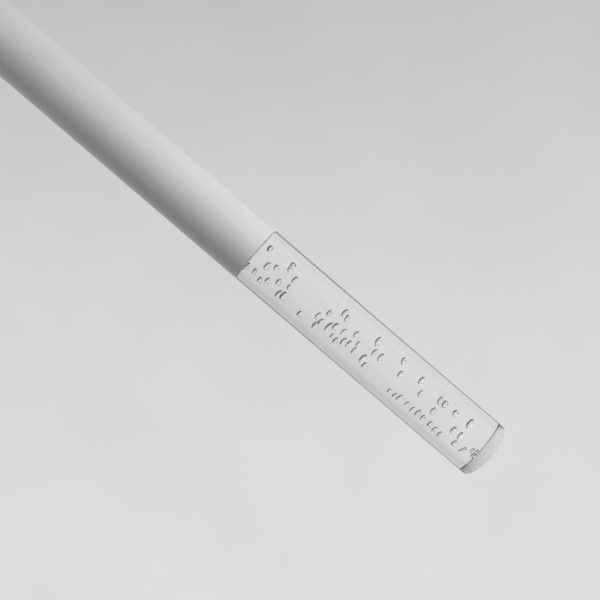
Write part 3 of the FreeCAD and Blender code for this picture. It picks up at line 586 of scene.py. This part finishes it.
def make_tube(materials):
    """The white tube with softly broken ends and three drilled holes for the grub screws."""
    low, high = TUBE_LOW.z, TUBE_HIGH.z
    profile = [(TUBE_BORE, high), (TUBE_BORE, low)]
    profile += rounded(RADIUS - LOWER_EDGE, low + LOWER_EDGE, LOWER_EDGE, -90, 0)
    profile += rounded(RADIUS - UPPER_EDGE, high - UPPER_EDGE, UPPER_EDGE, 0, 90)
    tube = stand_in("white_tube", spin(profile, closed=True), "lamp_body", "outer_tube", materials)
    drill = grub_drill()
    cut = tube.modifiers.new("grub_holes", "BOOLEAN")
    cut.object = drill
    cut.solver = "EXACT"
    bpy.context.view_layer.update()
    drilled = bpy.data.meshes.new_from_object(tube.evaluated_get(bpy.context.evaluated_depsgraph_get()))
    tube.modifiers.remove(cut)
    tube.data = drilled
    bpy.data.objects.remove(drill)
    sharpen(tube)


# ---------------------------------------------------------------- threaded pieces

# Rows to a turn of thread, and vertices round it.
THREAD_ROWS = 20
THREAD_STEPS = 96
THREAD_CREASE = 50
THREAD_END_GAP = 0.1 * MM
COLUMN_PITCH = 1.5 * MM
COLUMN_THREAD_DEPTH = 0.8 * MM
INSERT_BORE = 16 * MM
BOND_LINE = 0.05 * MM
GLAND_PITCH = 1.0 * MM
GLAND_THREAD_DEPTH = 0.5 * MM
GLAND_STEM = 5 * MM
GLAND_CREST = 5.9 * MM
GLAND_BORE = 3.4 * MM
GLAND_POCKET = 4.55 * MM
GLAND_EDGE = 0.3 * MM
FLANGE_THICKNESS = 3 * MM


def helix_radius(crest, depth, pitch, level, low, high):
    """The radius round one level of a right-hand thread, running out towards both of its ends."""
    fade = max(0.0, min(1.0, (level - low) / pitch, (high - level) / pitch))

    def radius(angle):
        wave = 0.5 - 0.5 * math.cos(FULL_TURN * level / pitch - angle)
        return crest - depth * (1 - fade * wave)

    return radius


def thread(crest, depth, pitch, low, high):
    """Profile rows of a thread from low to high. A negative depth cuts into a bore."""
    rows = round(THREAD_ROWS * (high - low) / pitch)
    levels = [low + (high - low) * i / rows for i in range(rows + 1)]
    return [(helix_radius(crest, depth, pitch, level, low, high), level) for level in levels]


def add_threaded(name, profile, body, node, materials):
    """A turned piece with a thread, finished and put in place of its CAD node."""
    solid = spin(profile, closed=True, steps=THREAD_STEPS)
    sharpen(stand_in(name, solid, body, node, materials), THREAD_CREASE)


def make_sleeve(materials):
    """The sleeve on the column's spigot, with an outside thread."""
    inside = SPIGOT_RADIUS + BOND_LINE
    crest = SLEEVE_HIGH.x
    root = crest - COLUMN_THREAD_DEPTH
    low, high = SLEEVE_LOW.z, SLEEVE_HIGH.z
    profile = [(inside, high), (inside, low), (root, low)]
    profile += thread(crest, COLUMN_THREAD_DEPTH, COLUMN_PITCH, low + THREAD_END_GAP, high - THREAD_END_GAP)
    profile += [(root, high)]
    add_threaded("threaded_sleeve", profile, "column", "thread_sleeve", materials)


def make_insert(materials):
    """The ring in the tube's lower end, with an inside thread for the sleeve."""
    outside = INSERT_HIGH.x
    cut = COLUMN_THREAD_DEPTH / 2
    low, high = INSERT_LOW.z, INSERT_HIGH.z
    rows = thread(INSERT_BORE, -cut, COLUMN_PITCH, low + THREAD_END_GAP, high - THREAD_END_GAP)
    profile = [(outside, low), (outside, high), (INSERT_BORE + cut, high)]
    profile += list(reversed(rows)) + [(INSERT_BORE + cut, low)]
    add_threaded("insert_ring", profile, "lamp_body", "threaded_insert", materials)


def make_gland(materials):
    """The cord gland: a threaded stem through the cap, a flange, and a threaded neck for the clamp nut."""
    low, rim = GLAND_LOW.z, GLAND_HIGH.z
    flange = GLAND_HIGH.x
    flange_top = FLANGE_SEAT + FLANGE_THICKNESS
    profile = [(GLAND_BORE, SEAL_SEAT), (GLAND_BORE, low)]
    profile += thread(GLAND_STEM, GLAND_THREAD_DEPTH, GLAND_PITCH, low, FLANGE_SEAT - THREAD_END_GAP)
    profile += [(flange - GLAND_EDGE, FLANGE_SEAT), (flange, FLANGE_SEAT + GLAND_EDGE),
                (flange, flange_top - GLAND_EDGE), (flange - GLAND_EDGE, flange_top)]
    profile += thread(GLAND_CREST, GLAND_THREAD_DEPTH, GLAND_PITCH,
                      flange_top + THREAD_END_GAP, rim - THREAD_END_GAP)
    profile += [(GLAND_CREST - GLAND_THREAD_DEPTH, rim), (GLAND_POCKET, rim), (GLAND_POCKET, SEAL_SEAT)]
    add_threaded("cord_gland", profile, "lamp_body", "gland_body", materials)


# ---------------------------------------------------------------- stage

ROOM_RADIUS = 2.0
ROOM_FLOOR = -1.35
ROOM_TOP = 1.6
ROOM_STEPS = 96
COVE = 0.5
COVE_STEPS = 12

# The wall's own light: its level behind the junction, how that rises and bends towards the bright
# corner, and the distance in metres that counts as one step of the rise.
WALL_GLOW = 0.662
GLOW_SLOPE = 0.091
GLOW_BEND = 0.034
GLOW_REACH = 0.88
GLOW_TOWARDS = (-0.71, 0.0, -0.70)
GLOW_FIRST_STEP = -2.2
GLOW_LAST_STEP = 1.3
# Shares of that light for what isn't seen directly: the wall before the lamp, between two depths in
# room radii, the ceiling, between two drops below it, and a bright pool on the floor.
FRONT_SHARE = 0.62
FRONT_SPAN = (-0.3, 0.6)
CEILING_SHARE = 0.50
CEILING_SPAN = (0.55, 0.05)
POOL_SHARE = 1.35
POOL_SPAN = (0.5, 1.3)
POOL_HEIGHTS = (0.05, 0.2)
WALL_AS_LIGHT = 0.36
WALL_CLOUD = 0.015


def pale_wall():
    """The pale wall, evenly lit: brighter low down on one side, dimmer beside and before the lamp."""
    s = Glow("pale_studio_wall")
    split = s.add("ShaderNodeSeparateXYZ")
    s.link(s.place, split.inputs[0])
    depth, height = split.outputs["Y"], split.outputs["Z"]

    from_lamp = s.vector_math("SUBTRACT", s.place, (0, 0, JUNCTION))[0]
    along = s.vector_math("DOT_PRODUCT", from_lamp, GLOW_TOWARDS)["Value"]
    step = s.between(along, low=GLOW_FIRST_STEP, high=GLOW_LAST_STEP,
                     start=GLOW_FIRST_STEP * GLOW_REACH, stop=GLOW_LAST_STEP * GLOW_REACH)
    slope = s.combine("SUBTRACT", GLOW_SLOPE, s.combine("MULTIPLY", step, GLOW_BEND))
    level = s.combine("ADD", WALL_GLOW, s.combine("MULTIPLY", step, slope))

    front = s.between(depth, low=FRONT_SHARE, high=1.0, start=FRONT_SPAN[0] * ROOM_RADIUS,
                      stop=FRONT_SPAN[1] * ROOM_RADIUS, curve="SMOOTHSTEP")
    floor = s.between(height, low=1.0, high=0.0, start=ROOM_FLOOR + POOL_HEIGHTS[0],
                      stop=ROOM_FLOOR + COVE, curve="SMOOTHSTEP")
    ceiling = s.between(height, low=1.0, high=CEILING_SHARE, start=ROOM_TOP - CEILING_SPAN[0],
                        stop=ROOM_TOP - CEILING_SPAN[1], curve="SMOOTHSTEP")
    from_axis = s.vector_math("LENGTH", s.vector_math("MULTIPLY", s.place, (1, 1, 0))[0])["Value"]
    pool = s.between(from_axis, low=POOL_SHARE, high=1.0, start=POOL_SPAN[0],
                     stop=POOL_SPAN[1], curve="SMOOTHSTEP")
    on_floor = s.between(height, low=1.0, high=0.0, start=ROOM_FLOOR + POOL_HEIGHTS[0],
                         stop=ROOM_FLOOR + POOL_HEIGHTS[1], curve="SMOOTHSTEP")
    lit_floor = s.combine("MULTIPLY", s.combine("SUBTRACT", pool, 1.0), on_floor)
    wall_share = s.combine("MULTIPLY", s.combine("MAXIMUM", front, floor), ceiling)
    shares = s.combine("MULTIPLY", wall_share, s.combine("ADD", lit_floor, 1.0))

    path = s.add("ShaderNodeLightPath")
    seen = s.combine("MAXIMUM", shares, path.outputs["Is Camera Ray"])
    cloud = s.between(s.noise(scale=3.0, detail=6.0), low=1 - WALL_CLOUD, high=1 + WALL_CLOUD,
                      start=0.3, stop=0.7, curve="SMOOTHSTEP")
    glow = s.combine("MULTIPLY", s.combine("MULTIPLY", level, s.combine("MINIMUM", seen, POOL_SHARE)), cloud)
    as_light = s.combine("MULTIPLY", path.outputs["Is Diffuse Ray"], WALL_AS_LIGHT - 1)
    return s.finish(s.combine("MULTIPLY", glow, s.combine("ADD", as_light, 1.0)))


def make_room():
    """A plain pale round studio: floor, cove, wall and ceiling in one smooth surface."""
    profile = [(0, ROOM_FLOOR)]
    profile += rounded(ROOM_RADIUS - COVE, ROOM_FLOOR + COVE, COVE, -90, 0, COVE_STEPS)
    profile += rounded(ROOM_RADIUS - COVE, ROOM_TOP - COVE, COVE, 0, 90, COVE_STEPS)
    profile.append((0, ROOM_TOP))
    solid = spin(profile, closed=False, steps=ROOM_STEPS)
    bmesh.ops.reverse_faces(solid, faces=list(solid.faces))
    linked_object("studio_room", solid, [pale_wall()])


# Where the cards stand, seen from the lamp, and how large and how dim they are.
FLAG_AZIMUTH = math.radians(76)
FLAG_DISTANCE = 1.2
FLAG_WIDTH = 0.55
FLAG_HEIGHT = 1.6
FLAG_TONE = 0.15
FLAG_CLOUD = 0.1
UNIT_SQUARE = 1.0


def grey_card():
    """A dim, faintly mottled grey."""
    s = Glow("grey_card")
    generated = s.add("ShaderNodeTexCoord").outputs["Generated"]
    mottle = s.noise(scale=5.0, detail=2.0, vector=generated)
    return s.finish(s.between(mottle, low=FLAG_TONE * (1 - FLAG_CLOUD), high=FLAG_TONE * (1 + FLAG_CLOUD),
                              start=0.0, stop=1.0))


def make_flags():
    """Two dark grey cards beside the lamp that draw the edges of the clear column."""
    material = grey_card()
    for name, side in (("left_card", -1), ("right_card", 1)):
        card = bmesh.new()
        bmesh.ops.create_grid(card, x_segments=1, y_segments=1, size=UNIT_SQUARE / 2)
        flag = linked_object(name, card, [material])
        flag.location = (side * FLAG_DISTANCE * math.sin(FLAG_AZIMUTH),
                         FLAG_DISTANCE * math.cos(FLAG_AZIMUTH), JUNCTION)
        face_junction(flag, "Z")
        flag.scale = (FLAG_WIDTH, FLAG_HEIGHT, 1)
        flag.visible_camera = False
        flag.visible_diffuse = False
        flag.visible_shadow = False


# ---------------------------------------------------------------- light and camera

# Soft lights round the lamp: degrees to the right of the camera, distance, width, height, power,
# and how far above the junction they hang.
SOFT_LIGHTS = {
    "window": (60, 0.85, 0.55, 0.8, 4.6, -0.30),
    "window_bounce": (40, 0.85, 0.55, 0.8, 2.0, -0.30),
    "left_rim": (-140, 1.0, 0.6, 1.4, 3.0, 0.0),
    "right_rim": (140, 1.0, 0.6, 1.4, 1.3, 0.0),
    "back_fill": (180, 1.3, 0.5, 1.2, 6.0, 0.0),
}
OVERHEAD_LEVEL = 0.9
OVERHEAD_SIZE = 0.3
OVERHEAD_POWER = 7.0


def face_junction(thing, axis):
    """Turn an object so that one of its axes looks at the junction of tube and column."""
    aim = Vector((0, 0, JUNCTION)) - thing.location
    thing.rotation_mode = "QUATERNION"
    thing.rotation_quaternion = aim.to_track_quat(axis, "Y")


def soft_light(name, place, width, tall, power):
    """One large soft light, which lights the lamp but doesn't show in it or behind it."""
    data = bpy.data.lights.new(name, "AREA")
    data.shape = "RECTANGLE"
    data.size = width
    data.size_y = tall
    data.energy = power
    light = bpy.data.objects.new(name, data)
    bpy.context.scene.collection.objects.link(light)
    light.location = place
    face_junction(light, "-Z")
    light.visible_camera = False
    light.visible_glossy = False
    light.visible_transmission = False


def make_lights():
    """The lights round the lamp, and one overhead for its upper faces."""
    for name, (angle, distance, width, tall, power, lift) in SOFT_LIGHTS.items():
        turn = math.radians(angle)
        place = (distance * math.sin(turn), -distance * math.cos(turn), JUNCTION + lift)
        soft_light(name, place, width, tall, power)
    soft_light("overhead", (0, 0, OVERHEAD_LEVEL), OVERHEAD_SIZE, OVERHEAD_SIZE, OVERHEAD_POWER)


CAMERA_LENS = 45
CAMERA_SENSOR = 36
CAMERA_DISTANCE = 0.4850
CAMERA_DROP = 0.0247
CAMERA_PITCH = math.radians(1.912)
CAMERA_YAW = math.radians(0.436)
CAMERA_ROLL = math.radians(49.368)


def make_camera():
    """The camera, just below the junction and rolled, so that the lamp lies across the frame."""
    data = bpy.data.cameras.new("camera")
    data.lens = CAMERA_LENS
    data.sensor_width = CAMERA_SENSOR
    camera = bpy.data.objects.new("camera", data)
    bpy.context.scene.collection.objects.link(camera)
    forward = Vector((-math.sin(CAMERA_YAW) * math.cos(CAMERA_PITCH),
                      math.cos(CAMERA_YAW) * math.cos(CAMERA_PITCH), -math.sin(CAMERA_PITCH)))
    level_right = forward.cross(Vector((0, 0, 1))).normalized()
    level_up = level_right.cross(forward)
    right = level_right * math.cos(CAMERA_ROLL) - level_up * math.sin(CAMERA_ROLL)
    up = level_right * math.sin(CAMERA_ROLL) + level_up * math.cos(CAMERA_ROLL)
    turn = Matrix((right, up, -forward)).transposed().to_4x4()
    camera.matrix_world = Matrix.Translation((0, -CAMERA_DISTANCE, JUNCTION - CAMERA_DROP)) @ turn
    bpy.context.scene.camera = camera


materials = make_materials()
make_column(materials)
make_tube(materials)
make_sleeve(materials)
make_insert(materials)
make_gland(materials)
make_room()
make_flags()
make_lights()
make_camera()
bpy.context.scene.view_settings.view_transform = "Standard"
